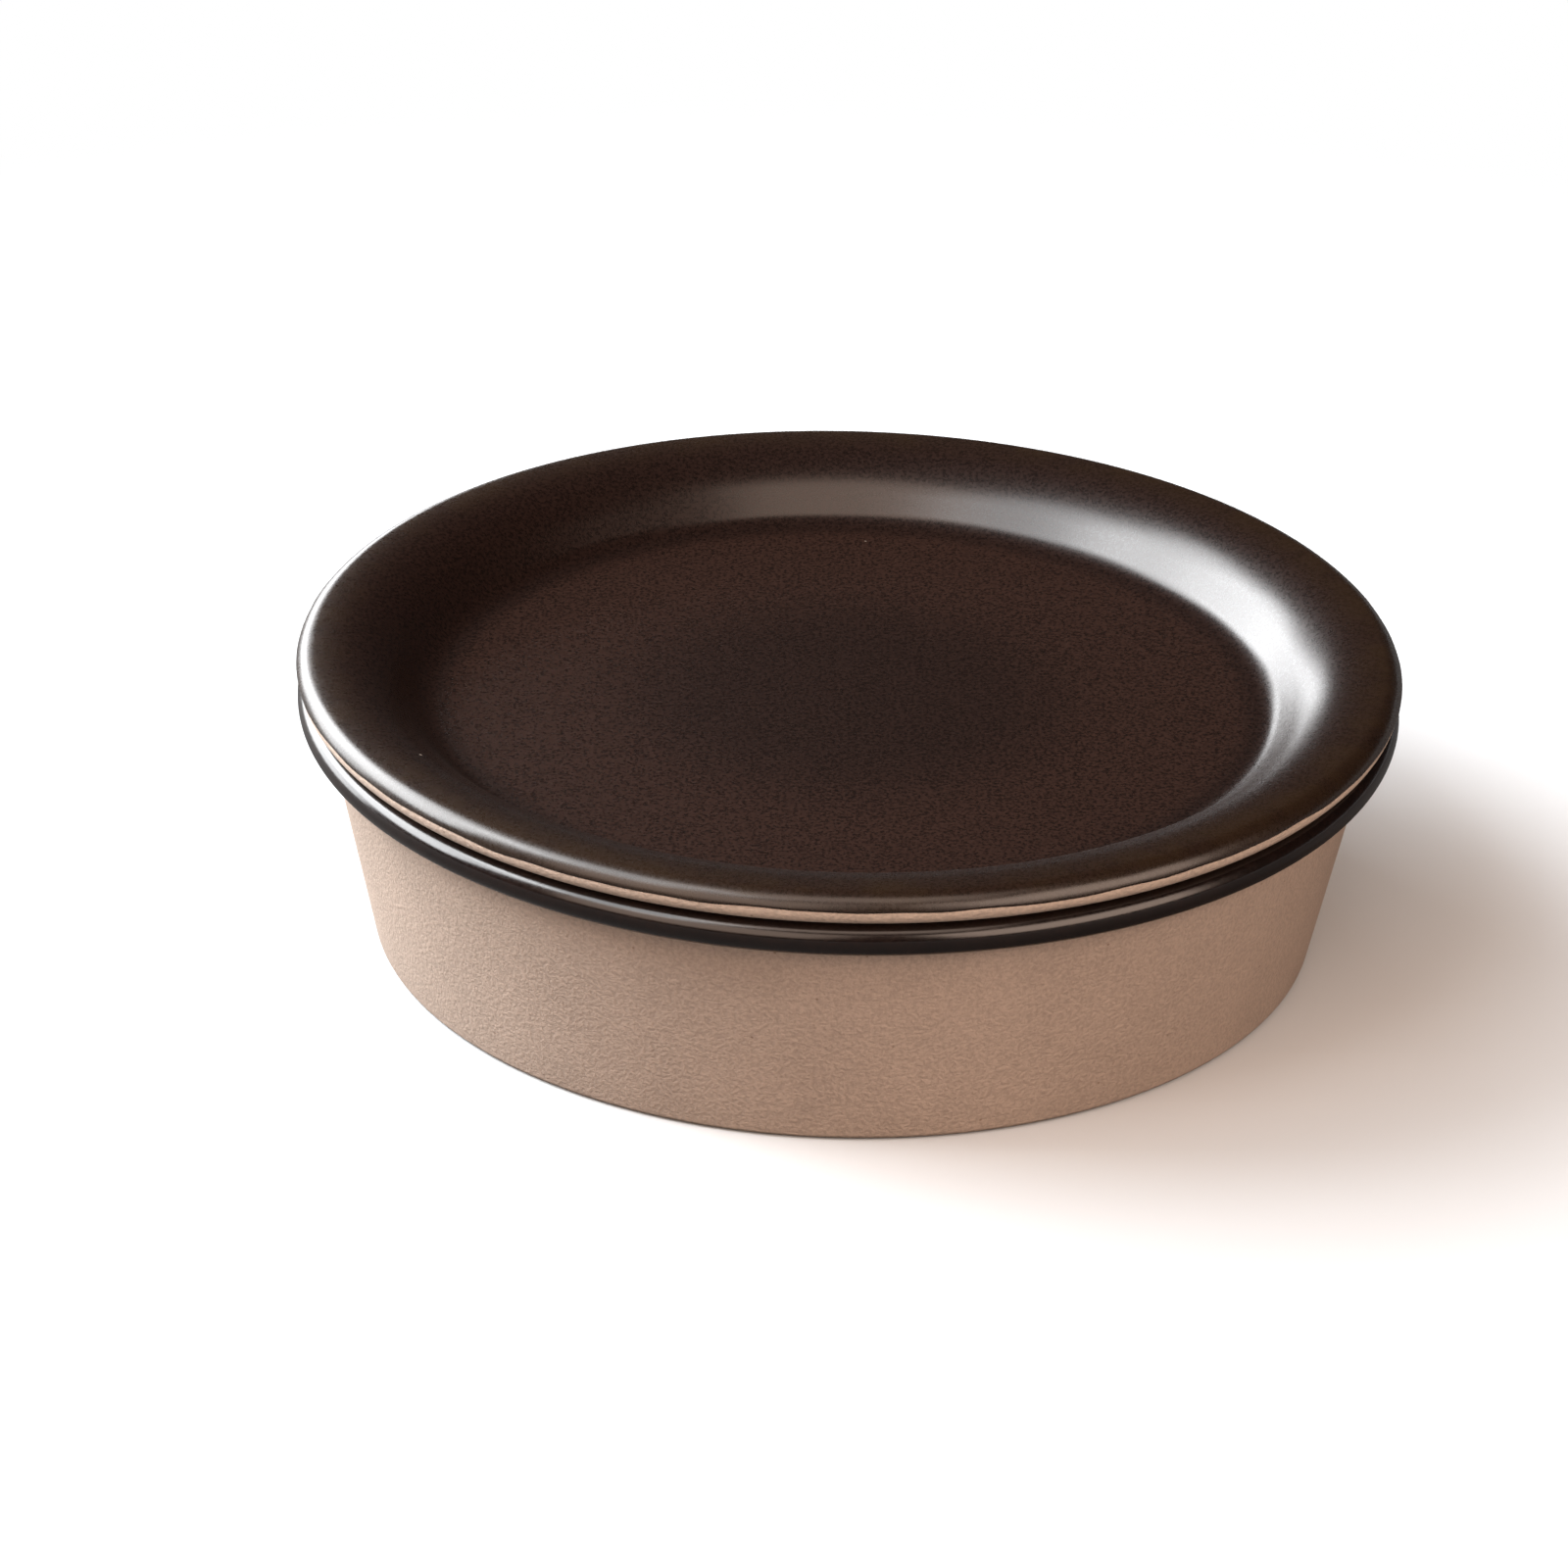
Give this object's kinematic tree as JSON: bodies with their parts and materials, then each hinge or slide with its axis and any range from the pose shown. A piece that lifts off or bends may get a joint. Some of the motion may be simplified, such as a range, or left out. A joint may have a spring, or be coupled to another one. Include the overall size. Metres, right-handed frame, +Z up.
{
  "type": "roasting dish",
  "caption": "Round stoneware roasting dish with tapered bare clay walls, a dark glazed rim and lining, and a loose plate-shaped lid that lifts off.",
  "frame": {"origin": "centre of the base of the dish, on the surface it stands on", "axes": "+Z up along the axis of the dish; X and Y are alike, because the dish is round"},
  "size_m": [0.25, 0.25, 0.0675],
  "materials": {
    "bare_clay": "bare matte stoneware with a fine grain",
    "brown_glaze": "dark brown satin glaze with a fine speckle"
  },
  "bodies": {
    "dish": {"dish_body": "bare_clay", "dish_glaze": "brown_glaze"},
    "lid": {"lid_body": "bare_clay", "lid_glaze": "brown_glaze"}
  },
  "joints": [
    {"name": "lid_lift", "type": "slide", "parent": "dish", "child": "lid", "axis": [0, 0, 1], "range_m": [0, 0.1]}
  ]
}
